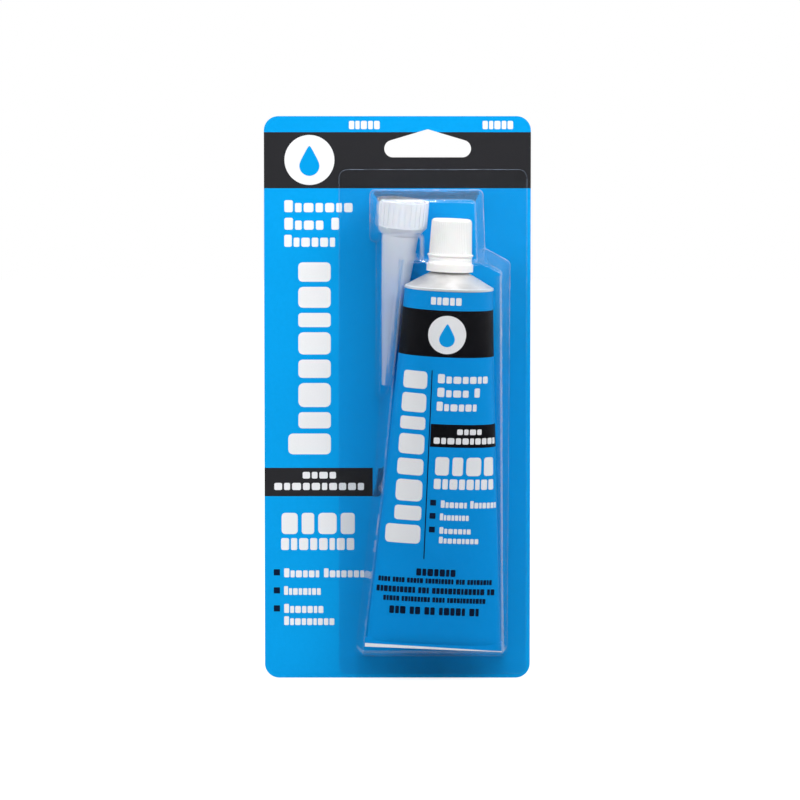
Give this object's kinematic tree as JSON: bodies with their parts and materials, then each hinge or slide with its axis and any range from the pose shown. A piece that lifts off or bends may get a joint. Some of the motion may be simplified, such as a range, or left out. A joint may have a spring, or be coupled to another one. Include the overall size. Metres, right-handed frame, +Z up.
{
  "type": "carded caulk tube",
  "caption": "Soft metal caulk tube with a ribbed screw cap and a spare nozzle, sealed on a printed hang card under a clear formed blister.",
  "frame": {"origin": "top of the hang hole's roof, on the card's back face", "axes": "+Z up the card, -Y out of the printed front, +X to the right of someone who looks at the front"},
  "size_m": [0.1111, 0.0402, 0.235],
  "materials": {
    "card": "gloss varnish over print",
    "clear_sheet": "clear formed sheet",
    "tube": "lacquered print on soft aluminium, bare shoulder",
    "cap": "matt moulded",
    "foam": "foam disc",
    "nozzle": "natural translucent"
  },
  "bodies": {
    "pack": {"card": "card", "blister": "clear_sheet", "tube": "tube", "nozzle": "nozzle"},
    "liner": {"cap_liner": "foam"},
    "cap": {"cap": "cap"}
  },
  "joints": [
    {"name": "cap_rise", "type": "slide", "parent": "pack", "child": "liner", "axis": [0.0414, -0.0453, 0.9981], "range_m": [0, 0.0075]},
    {"name": "cap_turn", "type": "hinge", "parent": "liner", "child": "cap", "pos_m": [0.0087, -0.01925, -0.0648], "axis": [0.0414, -0.0453, 0.9981], "range_deg": [0, 1080]}
  ],
  "couplings": [
    {"joint": "cap_turn", "follows": "cap_rise", "rad_per_m": 2513.3}
  ]
}
